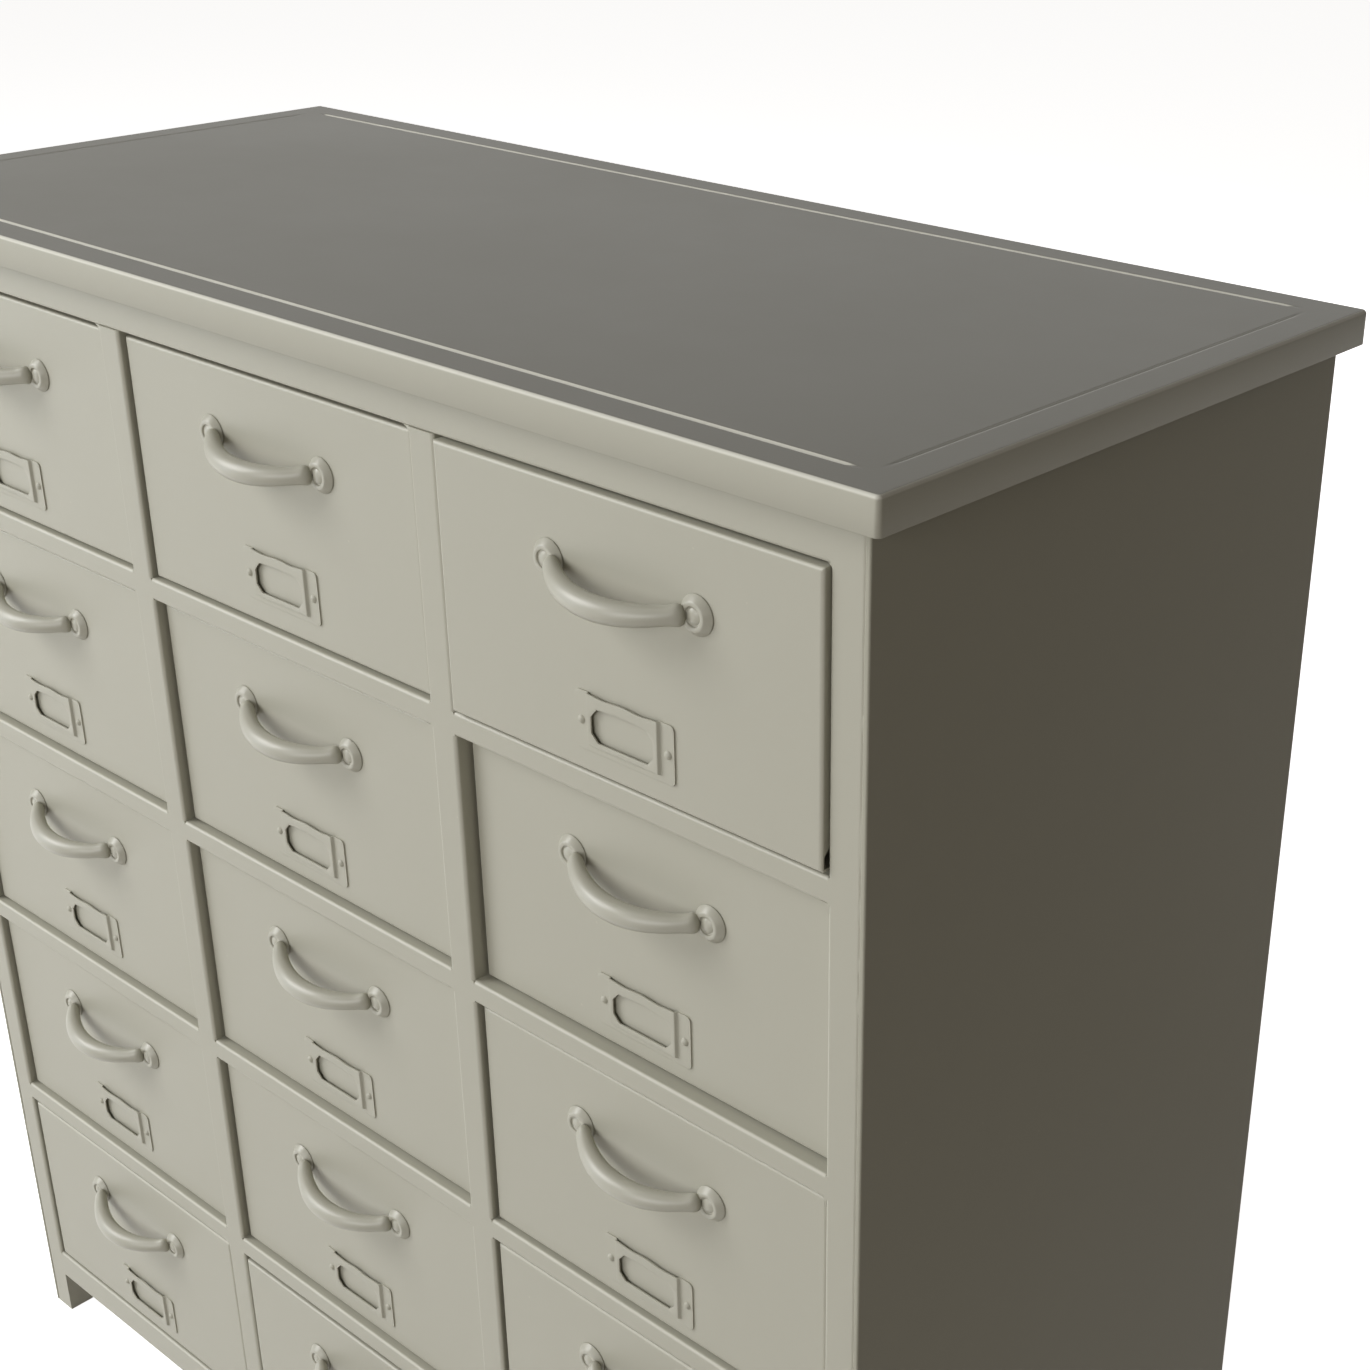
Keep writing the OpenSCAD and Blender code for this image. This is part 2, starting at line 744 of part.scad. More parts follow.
module pull(row, col) {
    color(paint) drawer_place(row, col) pull_place(row, col) {
        difference() {
            union() {
                grip();
                for (side = [-1, 1]) translate([side * pull_centres / 2, 0, 0]) ear();
            }
            // the grip's roots end at the wall of the rivet recess
            for (side = [-1, 1])
                translate([side * pull_centres / 2, -(ear_t - ear_recess), 0]) facing_front()
                    cylinder(r = rivet_head_r + 2 * seat_gap, h = ear_t + grip_reach, $fn = fine);
        }
        for (side = [-1, 1])
            translate([side * pull_centres / 2, -(ear_t - ear_recess + seat_gap), 0])
                facing_front()
                    rivet(rivet_head_r, rivet_dome, rivet_r,
                          ear_t - ear_recess + 2 * seat_gap + drawer_t);
    }
}

// ---- card holder: plate back in the plane y = 0, pins at z = 0 ------------------------

module card_window() {
    w = window_w / 2;
    low = holder_lip + window_sill - holder_h / 2;
    high = low + window_h;
    c = window_chamfer;
    polygon([
        [-w + c, low], [w - c, low], [w, low + c], [w, high - c],
        [w - c, high], [-w + c, high], [-w, high - c], [-w, low + c]
    ]);
}

// Stamped plate whose middle stands forward as a pocket, open at the top for a card.
module holder_plate() {
    facing_front() difference() {
        union() {
            linear_extrude(holder_t) translate([-holder_w / 2, -holder_h / 2])
                round_rect(holder_w, holder_h, plate_r);
            translate([-card_frame_w / 2, holder_lip - holder_h / 2, 0])
                cube([card_frame_w, card_frame_h, card_frame_rise]);
        }
        // the pocket behind the raised frame runs out through the top
        translate([-card_frame_w / 2 + holder_t, holder_lip + holder_t - holder_h / 2, -1])
            cube([card_frame_w - 2 * holder_t, holder_h, card_frame_rise - holder_t + 1]);
        linear_extrude(card_frame_rise + 1) card_window();
        for (side = [-1, 1]) translate([side * holder_pins / 2, 0, -1])
            cylinder(r = pin_r + rivet_clearance, h = holder_t + 2, $fn = fine);
    }
}

module card_holder(row, col) {
    color(paint) drawer_place(row, col) holder_place(row, col) {
        holder_plate();
        for (side = [-1, 1])
            translate([side * holder_pins / 2, -(holder_t + seat_gap), 0]) facing_front()
                rivet(pin_head_r, pin_dome, pin_r, holder_t + 2 * seat_gap + drawer_t);
    }
}

// ---- what is drawn --------------------------------------------------------------------

top_panel();
left_side_panel();
right_side_panel();
back_panel();
bottom_panel();
front_posts();
rear_posts();
front_muntins();
front_rails();
rear_uprights();
rear_rails();
side_rails();
runners();
guides_and_stops();
foot_plugs();
for (row = [0 : rows - 1], col = [0 : columns - 1]) {
    drawer(row, col);
    pull(row, col);
    card_holder(row, col);
}
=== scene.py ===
import math

import bpy
import numpy as np
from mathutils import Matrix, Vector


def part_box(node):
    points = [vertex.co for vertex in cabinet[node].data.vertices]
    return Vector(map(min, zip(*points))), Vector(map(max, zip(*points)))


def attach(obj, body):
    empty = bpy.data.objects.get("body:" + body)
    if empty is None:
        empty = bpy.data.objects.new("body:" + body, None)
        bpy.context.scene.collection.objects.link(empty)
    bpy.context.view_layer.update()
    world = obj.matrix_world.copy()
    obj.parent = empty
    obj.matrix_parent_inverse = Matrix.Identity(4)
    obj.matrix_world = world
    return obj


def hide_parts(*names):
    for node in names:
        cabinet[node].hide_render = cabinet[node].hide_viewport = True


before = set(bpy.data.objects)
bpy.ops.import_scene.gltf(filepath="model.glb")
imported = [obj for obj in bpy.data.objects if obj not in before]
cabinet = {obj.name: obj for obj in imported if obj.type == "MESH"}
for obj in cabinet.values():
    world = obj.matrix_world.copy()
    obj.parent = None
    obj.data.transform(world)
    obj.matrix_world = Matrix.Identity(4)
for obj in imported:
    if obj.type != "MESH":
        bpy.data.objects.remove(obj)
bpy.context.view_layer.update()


# ---- Face frame ----------------------------------------------------------------------
# Square steel tubes welded into posts, uprights and rails around the drawers, ground
# flush at the joints and sprayed with a warm grey-green satin enamel.

ENAMEL = (0.418, 0.408, 0.340, 1.0)
# A paler enamel painted on edges and bent steel as a painted highlight, where light catches
# them.
PAINTED_EDGE_HIGHLIGHT = (0.53, 0.52, 0.445, 1.0)
ENAMEL_IOR, PEEL_RELIEF, PEEL_STRENGTH = 1.45, 0.00006, 0.35
CLOUDS_PER_M, STREAKS_PER_M, CLOUD_SHARE, STREAK_SHARE = 5.0, 38.0, 0.7, 0.3
NIBS_PER_M, NIB_SIZE, NIB_PALER = 34.0, 0.022, 0.18
FLAT_COSINE, EASED_COSINE, EASE_SAMPLES = 1.0, 0.85, 6
BENT_FROM, BENT_FULL = 0.985, 0.85


def feed(tree, slot, value):
    """Wires a socket into the slot, or sets the slot to a plain value."""
    if isinstance(value, bpy.types.NodeSocket):
        tree.links.new(value, slot)
    else:
        slot.default_value = value


def maths(tree, operation, *values):
    """One Math node on sockets or plain numbers."""
    step = tree.nodes.new("ShaderNodeMath")
    step.operation = operation
    for slot, value in zip(step.inputs, values):
        feed(tree, slot, value)
    return step.outputs[0]


def spread(tree, value, start, full):
    """A mask that goes from 0 to 1 as the value goes from start to full."""
    reach = tree.nodes.new("ShaderNodeMapRange")
    feed(tree, reach.inputs["From Min"], start)
    feed(tree, reach.inputs["From Max"], full)
    feed(tree, reach.inputs["Value"], value)
    return reach.outputs[0]


def tinted(tree, mask, colour, tint):
    """The colour where the mask is 0, and the plain tint where it is 1."""
    mix = tree.nodes.new("ShaderNodeMix")
    mix.data_type = "RGBA"
    feed(tree, mix.inputs["B"], tint)
    feed(tree, mix.inputs["Factor"], mask)
    feed(tree, mix.inputs["A"], colour)
    return mix.outputs["Result"]


def new_group(name, inputs, outputs):
    """An empty node group with its input sockets (name, kind, value) and output sockets
    (name, kind)."""
    tree = bpy.data.node_groups.new(name, "ShaderNodeTree")
    socket = tree.interface.new_socket
    for label, kind, value in inputs:
        socket(label, in_out="INPUT", socket_type=kind).default_value = value
    for label, kind in outputs:
        socket(label, in_out="OUTPUT", socket_type=kind)
    return tree, tree.nodes.new("NodeGroupInput"), tree.nodes.new("NodeGroupOutput")


def with_group(tree, group, values):
    """The group placed in a material, with the material's own values for its inputs."""
    used = tree.nodes.new("ShaderNodeGroup")
    used.node_tree = group
    for label, value in values.items():
        used.inputs[label].default_value = value
    return used


def enamel_film_group():
    """A sprayed coat. Colour = paint * (1 + drift * (clouds - 0.5)), a little paler at rare
    nibs of dust. Roughness drifts with the same clouds. Height = orange peel plus nibs."""
    tree, given, made = new_group("enamel_film", [
        ("Paint", "NodeSocketColor", ENAMEL),
        ("Shade drift", "NodeSocketFloat", 0.06),
        ("Peel cells per metre", "NodeSocketFloat", 420.0),
        ("Roughness", "NodeSocketFloat", 0.45),
        ("Roughness drift", "NodeSocketFloat", 0.10),
        ("Nibs", "NodeSocketFloat", 0.5),
    ], [
        ("Colour", "NodeSocketColor"),
        ("Roughness", "NodeSocketFloat"),
        ("Film height", "NodeSocketFloat"),
    ])
    place = tree.nodes.new("ShaderNodeTexCoord").outputs["Object"]

    def noise(per_metre, detail):
        cloud = tree.nodes.new("ShaderNodeTexNoise")
        feed(tree, cloud.inputs["Scale"], per_metre)
        feed(tree, cloud.inputs["Detail"], detail)
        feed(tree, cloud.inputs["Vector"], place)
        return cloud.outputs["Fac"]

    clouds = maths(tree, "MULTIPLY", noise(CLOUDS_PER_M, 3.0), CLOUD_SHARE)
    streaks = maths(tree, "MULTIPLY", noise(STREAKS_PER_M, 2.0), STREAK_SHARE)
    centred = maths(tree, "SUBTRACT", maths(tree, "ADD", clouds, streaks), 0.5)
    shade = maths(tree, "MULTIPLY_ADD", centred, given.outputs["Shade drift"], 1.0)

    dust = tree.nodes.new("ShaderNodeTexVoronoi")
    feed(tree, dust.inputs["Scale"], NIBS_PER_M)
    feed(tree, dust.inputs["Vector"], place)
    near = maths(tree, "LESS_THAN", dust.outputs["Distance"], NIB_SIZE)
    nib = maths(tree, "MULTIPLY", near, given.outputs["Nibs"])
    scaled = tree.nodes.new("ShaderNodeVectorMath")
    scaled.operation = "SCALE"
    feed(tree, scaled.inputs[0], given.outputs["Paint"])
    feed(tree, scaled.inputs["Scale"], maths(tree, "MULTIPLY_ADD", nib, NIB_PALER, shade))
    feed(tree, made.inputs["Colour"], scaled.outputs[0])

    dull = maths(tree, "MULTIPLY", centred, given.outputs["Roughness drift"])
    feed(tree, made.inputs["Roughness"], maths(tree, "ADD", given.outputs["Roughness"], dull))
    peel = noise(given.outputs["Peel cells per metre"], 1.0)
    feed(tree, made.inputs["Film height"], maths(tree, "ADD", peel, nib))
    return tree


def eased_edges_group():
    """Bent and ground sheet edges. Normal = the surface's, rounded over the edge radius.
    Edge = a mask that rises as the cosine between the rounded and the true normal falls;
    it places the painted edge highlight."""
    tree, given, made = new_group(
        "eased_edges", [("Edge radius", "NodeSocketFloat", 0.0007)],
        [("Normal", "NodeSocketVector"), ("Edge", "NodeSocketFloat")])
    rounded = tree.nodes.new("ShaderNodeBevel")
    rounded.samples = EASE_SAMPLES
    feed(tree, rounded.inputs["Radius"], given.outputs["Edge radius"])
    surface = tree.nodes.new("ShaderNodeNewGeometry")
    cosine = tree.nodes.new("ShaderNodeVectorMath")
    cosine.operation = "DOT_PRODUCT"
    feed(tree, cosine.inputs[0], rounded.outputs[0])
    feed(tree, cosine.inputs[1], surface.outputs["True Normal"])
    feed(tree, made.inputs["Normal"], rounded.outputs[0])
    feed(tree, made.inputs["Edge"],
         spread(tree, cosine.outputs["Value"], FLAT_COSINE, EASED_COSINE))
    return tree


def painted_bend_highlight_group():
    """The bent parts and roundings of the sheet, where the painted highlight goes. Bend = 0
    where the object normal lies along an axis, rising to 1 as its largest part falls."""
    tree, _, made = new_group("painted_bend_highlight", [], [("Bend", "NodeSocketFloat")])
    size = tree.nodes.new("ShaderNodeVectorMath")
    size.operation = "ABSOLUTE"
    feed(tree, size.inputs[0], tree.nodes.new("ShaderNodeTexCoord").outputs["Normal"])
    part = tree.nodes.new("ShaderNodeSeparateXYZ")
    feed(tree, part.inputs[0], size.outputs[0])
    largest = maths(tree, "MAXIMUM", part.outputs["X"], part.outputs["Y"])
    largest = maths(tree, "MAXIMUM", largest, part.outputs["Z"])
    feed(tree, made.inputs["Bend"], spread(tree, largest, BENT_FROM, BENT_FULL))
    return tree


enamel_film = enamel_film_group()
eased_edges = eased_edges_group()
painted_bend_highlight = painted_bend_highlight_group()


def enamel(name, paint=ENAMEL, rough=0.45, gloss=0.5, drift=0.06, peel=420.0, nibs=0.5,
           edge=0.0007, bend_highlights=False):
    """Satin enamel over steel: the film group's colour, with orange peel as bump. A painted
    highlight makes it paler on sharp edges, eased over the edge radius, and with bend
    highlights also where the steel itself is bent."""
    paint_coat = bpy.data.materials.new(name)
    paint_coat.use_nodes = True
    tree = paint_coat.node_tree
    shader = tree.nodes["Principled BSDF"]
    shader.inputs["IOR"].default_value = ENAMEL_IOR
    shader.inputs["Specular IOR Level"].default_value = gloss
    film = with_group(tree, enamel_film, {
        "Paint": paint, "Shade drift": drift, "Peel cells per metre": peel,
        "Roughness": rough, "Nibs": nibs})
    bump = tree.nodes.new("ShaderNodeBump")
    feed(tree, bump.inputs["Strength"], PEEL_STRENGTH)
    feed(tree, bump.inputs["Distance"], PEEL_RELIEF)
    feed(tree, bump.inputs["Height"], film.outputs["Film height"])
    colour = film.outputs["Colour"]
    if edge:
        eased = with_group(tree, eased_edges, {"Edge radius": edge})
        # Painted highlight on the edges.
        colour = tinted(tree, eased.outputs["Edge"], colour, PAINTED_EDGE_HIGHLIGHT)
        feed(tree, bump.inputs["Normal"], eased.outputs["Normal"])
    if bend_highlights:
        bent = with_group(tree, painted_bend_highlight, {})
        # Painted highlight on the bent steel.
        colour = tinted(tree, bent.outputs["Bend"], colour, PAINTED_EDGE_HIGHLIGHT)
    feed(tree, shader.inputs["Base Color"], colour)
    feed(tree, shader.inputs["Roughness"], film.outputs["Roughness"])
    feed(tree, shader.inputs["Normal"], bump.outputs["Normal"])
    return paint_coat


def coat(nodes, finish):
    """One finish on each of the named nodes."""
    for name in nodes:
        cabinet[name].data.materials.clear()
        cabinet[name].data.materials.append(finish)


# The paler bent steel of the face frame is a painted highlight.
coat(["front_posts", "front_muntins", "front_rails"],
     enamel("face_frame_enamel", edge=0, bend_highlights=True))


# ---- Side and back sheets ------------------------------------------------------------
# Flat sheets welded over the posts. The broad faces take a slightly patchy coat.

# The edges of these sheets get a painted highlight.
coat(["left_side_panel", "right_side_panel", "back_panel"],
     enamel("sheet_enamel", gloss=0.08, drift=0.10, edge=0.0006))


# ---- Top pan -------------------------------------------------------------------------
# One sheet folded down on all four sides, its corners welded and dressed. A narrow groove
# with soft shoulders is pressed in near the edges, shallow at the sides and the corners.

PAN_T, BEND_R, CORNER_R, LIP_R = 0.0015, 0.0020, 0.0025, 0.0002
GROOVE_MIDDLE, GROOVE_HALF, GROOVE_DEEP, SIDE_SHARE = 0.02025, 0.0018, 0.0013, 0.30
GROOVE_CORNER_R, FADE_START, FADE_LENGTH = 0.0042, 0.001, 0.014
BEND_POINTS, GROOVE_POINTS, FADE_POINTS, LEAST_R = 9, 13, 6, 0.0004
# Rows this far beside a bend keep its shading off the flat. The flat rows, from the bend
# in past the groove, have these corner radii, and the last lies this far inside the groove.
GUARD, FLAT_RS, LAST_STEP = 0.0008, (0.001, 0.005, 0.002, 0.001), 0.004
PAN_ENAMEL = (0.450, 0.442, 0.375, 1.0)
# Height of the object normal at which each tint starts and is full: painted highlight on
# the bent edges, and painted shade on the flat top, which takes less light.
PAN_PAINTED_LIGHT = [(0.10, 0.40, (0.66, 0.65, 0.575, 1.0)), (0.90, 0.985, (0.206, 0.199, 0.168, 1.0))]


def closed_tube(points):
    """Vertices and faces of a grid of points (rings, around, 3): quads between the rings,
    and a fan to the mean of the ring at each end. Rings run right-handed about +row."""
    rings, around = points.shape[:2]
    ring, turn = np.meshgrid(np.arange(rings - 1), np.arange(around), indexing="ij")
    here, nxt = ring * around + turn, ring * around + (turn + 1) % around
    quads = np.stack([here, nxt, nxt + around, here + around], -1).reshape(-1, 4)
    first, last = rings * around, rings * around + 1
    k = np.arange(around)
    fan = np.stack([(k + 1) % around, k, np.full(around, first)], -1)
    base = (rings - 1) * around
    end_fan = np.stack([base + k, base + (k + 1) % around, np.full(around, last)], -1)
    corners = np.vstack([points.reshape(-1, 3), points[0].mean(0), points[-1].mean(0)])
    return corners, [quads, fan, end_fan]


def piece_of(name, shells, finish):
    """One object from several shells of (vertices, face arrays), smooth shaded."""
    corners, faces, start = [], [], 0
    for points, face_sets in shells:
        corners.append(points)
        for face_set in face_sets:
            faces.extend((face_set + start).tolist())
        start += len(points)
    mesh = bpy.data.meshes.new(name)
    mesh.from_pydata(np.vstack(corners).tolist(), [], faces)
    mesh.shade_smooth()
    mesh.materials.append(finish)
    piece = bpy.data.objects.new(name, mesh)
    bpy.context.scene.collection.objects.link(piece)
    return piece


def smooth_step(value):
    """3 v^2 - 2 v^3, with v held between 0 and 1."""
    value = np.clip(value, 0, 1)
    return value * value * (3 - 2 * value)


def pan_profile(depth):
    """Rows of (inset from the edge, height, corner radius, share of the groove's depth), in
    the order under the sheet, down inside the folded edge, up its outside, round the bend
    and over the groove. The share across the groove is cos(pi t / 2)^2."""
    across = np.linspace(-1, 1, GROOVE_POINTS)
    share = np.cos(np.pi * across / 2) ** 2
    inset = GROOVE_MIDDLE + GROOVE_HALF * across
    groove = np.stack([inset, 0 * inset, GROOVE_CORNER_R + GROOVE_MIDDLE - inset, share], -1)
    outer = GROOVE_MIDDLE - GROOVE_HALF - GUARD
    inner = GROOVE_MIDDLE + GROOVE_HALF + GUARD
    turn = np.radians(np.linspace(0, 90, BEND_POINTS))

    def bend(radius):
        gone = BEND_R - radius * np.cos(turn)
        return np.stack([gone, radius * np.sin(turn) - BEND_R,
                         np.maximum(CORNER_R - gone, LEAST_R), 0 * turn], -1)

    over = np.vstack([
        bend(BEND_R), [[BEND_R + GUARD, 0, FLAT_RS[0], 0], [outer, 0, FLAT_RS[1], 0]],
        groove, [[inner, 0, FLAT_RS[2], 0], [inner + LAST_STEP, 0, FLAT_RS[3], 0]]])
    under = np.vstack([over[:BEND_POINTS - 1:-1] - [0, PAN_T, 0, 0],
                       bend(BEND_R - PAN_T)[::-1]])
    bend_foot, inner_r = -BEND_R - GUARD, CORNER_R - PAN_T
    lip = [[PAN_T, bend_foot, inner_r, 0], [PAN_T, LIP_R - depth, inner_r, 0],
           [PAN_T - LIP_R, -depth, inner_r, 0], [LIP_R, -depth, CORNER_R, 0],
           [0, LIP_R - depth, CORNER_R, 0], [0, bend_foot, CORNER_R, 0]]
    return np.vstack([under, lip, over])


def folded_pan(low, high):
    """Each profile row is carried round the rectangle: per corner, points up to the arc,
    the arc, and points past it, over which the groove's share of its depth rises as
    smooth_step to 1 along front and back and to the side share along the sides."""
    half = np.array([high.x - low.x, high.y - low.y]) / 2
    middle = np.array([high.x + low.x, high.y + low.y]) / 2
    past = FADE_START + FADE_LENGTH * np.linspace(0, 1, FADE_POINTS)
    fade = smooth_step(np.linspace(0, 1, FADE_POINTS))
    angle = np.radians(np.linspace(-90, 0, BEND_POINTS))
    corners = [((1, -1), 1, 0), ((1, 1), 0, 1), ((-1, 1), -1, 0), ((-1, -1), 0, -1)]
    rings = []
    for inset, height, corner_r, share in pan_profile(high.z - low.z):
        local = np.concatenate([
            np.stack([-past[::-1], -corner_r + 0 * past], -1),
            corner_r * np.stack([np.cos(angle), np.sin(angle)], -1),
            np.stack([corner_r + 0 * past, past], -1)])
        sides = []
        for signs, c, s in corners:
            before, after = (SIDE_SHARE, 1) if s else (1, SIDE_SHARE)
            deep = np.concatenate([before * fade[::-1], 0 * angle, after * fade])
            place = local @ np.array([[c, s], [-s, c]]) + (half - inset - corner_r) * signs
            sides.append(np.column_stack([place + middle,
                                          high.z + height - GROOVE_DEEP * share * deep]))
        rings.append(np.vstack(sides))
    return np.stack(rings)


def pan_enamel(name):
    """The enamel of the pan, tinted by the height of the object normal: painted highlight on
    the bent edges and painted shade on the flat top.
    """
    pan_coat = enamel(name, paint=PAN_ENAMEL, rough=0.42, gloss=0.16, drift=0.05, edge=0)
    tree = pan_coat.node_tree
    base = tree.nodes["Principled BSDF"].inputs["Base Color"]
    shade = base.links[0].from_socket
    facing = tree.nodes.new("ShaderNodeSeparateXYZ")
    feed(tree, facing.inputs[0], tree.nodes.new("ShaderNodeTexCoord").outputs["Normal"])
    # Painted highlight on the bent edges, then painted shade on the flat top.
    for start, full, tint in PAN_PAINTED_LIGHT:
        shade = tinted(tree, spread(tree, facing.outputs["Z"], start, full), shade, tint)
    feed(tree, base, shade)
    return pan_coat


coat(["top_panel"], enamel("pan_core_enamel", edge=0))
pan_low, pan_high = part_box("top_panel")
pan = piece_of("folded_top_pan", [closed_tube(folded_pan(pan_low, pan_high))],
               pan_enamel("top_enamel"))
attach(pan, "carcass")
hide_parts("top_panel")


# ---- Seam filler ---------------------------------------------------------------------
# The seam between each front post and its side sheet was filled in short runs before the
# cabinet was painted.

SEAM_IN, SEAM_BACK, SEAM_HALF_W, SEAM_HALF_D = 0.0032, 0.00095, 0.0012, 0.0009
FILLER_RINGS, FILLER_SIDES, FILLER_TAPER, FILLER_TIP = 15, 16, 0.3, 0.002
# Lowest and highest point of each run, on the right side (1) and on the left (-1).
SEAM_RUNS = {1: [(0.7330, 0.7425), (0.668, 0.700), (0.645, 0.660), (0.622, 0.631),
                 (0.600, 0.612), (0.402, 0.409), (0.214, 0.233)],
             -1: [(0.771, 0.778), (0.540, 0.566), (0.361, 0.369), (0.148, 0.171)]}


def filler_run(x, y, low, high):
    """An ellipse carried up the seam, its size rising as (4 t (1 - t))^taper from each end."""
    t = np.linspace(FILLER_TIP, 1 - FILLER_TIP, FILLER_RINGS)
    size = (4 * t * (1 - t)) ** FILLER_TAPER
    angle = np.arange(FILLER_SIDES) * 2 * np.pi / FILLER_SIDES
    ring = np.stack([SEAM_HALF_W * np.cos(angle), SEAM_HALF_D * np.sin(angle), 0 * angle], -1)
    along = np.stack([0 * t, 0 * t, (high - low) * t], -1)
    return np.array([x, y, low]) + along[:, None] + size[:, None, None] * ring[None]


post_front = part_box("front_posts")[0].y
side_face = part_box("right_side_panel")[1].x
seam_enamel = enamel("seam_enamel", rough=0.5, edge=0)
for side, runs in SEAM_RUNS.items():
    filler = piece_of("seam_filler_right" if side > 0 else "seam_filler_left", [
        closed_tube(filler_run(side * (side_face - SEAM_IN), post_front + SEAM_BACK, low, high))
        for low, high in runs], seam_enamel)
    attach(filler, "carcass")


# ---- Inner frame and drawer runners --------------------------------------------------
# Tubes, bars and strips behind the face frame. Their coat is darker, rougher and more
# uneven than the face frame's, and their edges get a painted highlight.

coat(["rear_posts", "rear_uprights", "rear_rails", "side_rails", "bottom_panel", "runners",
      "guides_and_stops"],
     enamel("inner_frame_enamel", paint=(0.33, 0.32, 0.26, 1.0), rough=0.6, drift=0.16,
            nibs=1.0))


# ---- Foot plugs ----------------------------------------------------------------------
# Moulded caps pressed into the open ends of the four posts, in matt black plastic.

PLUG_DARK, PLUG_PALE = (0.018, 0.018, 0.018, 1.0), (0.034, 0.034, 0.033, 1.0)
GRAINS_PER_M, GRAIN_RELIEF, PLUG_ROUGH = 900.0, 0.0001, 0.6


def moulded_plastic(name):
    """Matt moulding: black, with a fine grain in its shade and height."""
    plastic = bpy.data.materials.new(name)
    plastic.use_nodes = True
    tree = plastic.node_tree
    shader = tree.nodes["Principled BSDF"]
    shader.inputs["Roughness"].default_value = PLUG_ROUGH
    grain = tree.nodes.new("ShaderNodeTexNoise")
    feed(tree, grain.inputs["Scale"], GRAINS_PER_M)
    feed(tree, grain.inputs["Vector"], tree.nodes.new("ShaderNodeTexCoord").outputs["Object"])
    tone = tree.nodes.new("ShaderNodeValToRGB")
    tone.color_ramp.elements[0].color = PLUG_DARK
    tone.color_ramp.elements[1].color = PLUG_PALE
    feed(tree, tone.inputs["Fac"], grain.outputs["Fac"])
    feed(tree, shader.inputs["Base Color"], tone.outputs["Color"])
    bump = tree.nodes.new("ShaderNodeBump")
    feed(tree, bump.inputs["Distance"], GRAIN_RELIEF)
    feed(tree, bump.inputs["Height"], grain.outputs["Fac"])
    feed(tree, shader.inputs["Normal"], bump.outputs["Normal"])
    return plastic


coat(["foot_plugs"], moulded_plastic("plug_plastic"))


# ---- Drawers -------------------------------------------------------------------------
# Folded sheet boxes. Each front has its four edges bent back, so the gap beside a
# drawer shows the painted return.

ROWS, COLUMNS = 5, 3
CELLS = [(row, column) for row in range(1, ROWS + 1) for column in range(1, COLUMNS + 1)]

# The paler edges and bent steel of the drawers are a painted highlight.
coat([f"drawer_r{row}c{column}" for row, column in CELLS],
     enamel("drawer_enamel", drift=0.05, edge=0.0005, bend_highlights=True))


# ---- Bow pulls -----------------------------------------------------------------------
# Cast pulls, thick in the middle and drooping a little, with a round ear at each end. A
# flat-domed rivet goes through the recess of each ear, and all is painted over.

PULL_CENTRES, PULL_Z = 0.091, 0.098
EAR_R, EAR_FACE_R, EAR_T, EAR_RIM_R = 0.0094, 0.0072, 0.0036, 0.0013
EAR_RECESS_R, EAR_FLOOR, EAR_FILLET_R, EAR_INNER_RIM_R = 0.0044, 0.0025, 0.0003, 0.0007
# The ear's edge over the sheet: steps from its full radius, with their heights.
EAR_SLOPE_FOOT, EAR_EDGE = 0.0005, [(-0.0001, 0.0006), (0.0, 0.0004), (-0.0003, 0.0001)]
GRIP_REACH, GRIP_ROOT, GRIP_DROOP, GRIP_FLARE = 0.0185, 0.0028, 0.0040, 1.0
GRIP_MID_R, GRIP_END_R, ROOT_INSET = 0.0058, 0.0036, 0.0041
BOW_POWER, FLARE_POWER, CAP_FROM, CAP_SHARE, CAP_LEAST = 2.1, 14, 0.91, 0.09, 0.0004
RIVET_R, RIVET_DOME, SHANK_R, DOME_POWER = 0.0038, 0.0011, 0.0020, 2.6
TAIL_R, TAIL_T, TAIL_EASE_IN, TAIL_EASE_OUT = 0.0034, 0.0012, 0.0002, 0.0003
HEAD_EDGE, HUB_R, SHEET_T, SEAT, TAB_DROP = 0.0001, 0.0002, 0.001, 0.0001, 0.0057
GRIP_RINGS, GRIP_SIDES, EAR_SIDES, RIVET_SIDES = 61, 28, 56, 24
HEAD_START, HEAD_POINTS = 0.03, 10
# The pulls were fitted one by one: millimetres to the right and up, and the degrees by
# which the left end is raised.
PULL_FIT = [
    [(0.5, -0.6, 1.2), (0.0, 0.4, 1.4), (3.4, 1.9, 1.0)],
    [(-3.0, -1.1, 1.2), (-1.9, -1.1, 1.4), (-1.9, -0.6, 1.8)],
    [(1.2, 0.0, 1.2), (1.0, 0.4, 1.2), (-0.6, -1.1, 1.8)],
    [(3.5, 1.1, 0.9), (1.0, 0.4, 0.8), (0.0, 0.0, 0.5)],
    [(3.5, 0.0, 0.9), (0.0, 0.0, 0.5), (0.0, 0.0, 0.5)],
]


def turned(profile, around, centre):
    """A profile of (radius, height) turned about an axis that points out of the drawer
    front (-Y) through centre: x = r cos a, z = r sin a, y = -height."""
    angle = -np.arange(around) * 2 * np.pi / around
    radius, height = profile[:, :1], profile[:, 1:]
    return centre + np.stack([radius * np.cos(angle), -height + 0 * angle,
                              radius * np.sin(angle)], -1)


def arc(centre, radius, start, end, count):
    """Points of a circle's arc in the (radius, height) plane, angles in degrees."""
    angle = np.radians(np.linspace(start, end, count))
    return np.stack([centre[0] + radius * np.cos(angle), centre[1] + radius * np.sin(angle)], -1)


def tilted(points, tilt):
    """Turned about the axis that points out of the drawer, left end up by tilt degrees:
    x' = x cos a + z sin a, z' = z cos a - x sin a."""
    a = math.radians(tilt)
    x, y, z = np.moveaxis(np.asarray(points, float), -1, 0)
    return np.stack([x * math.cos(a) + z * math.sin(a), y,
                     z * math.cos(a) - x * math.sin(a)], -1)


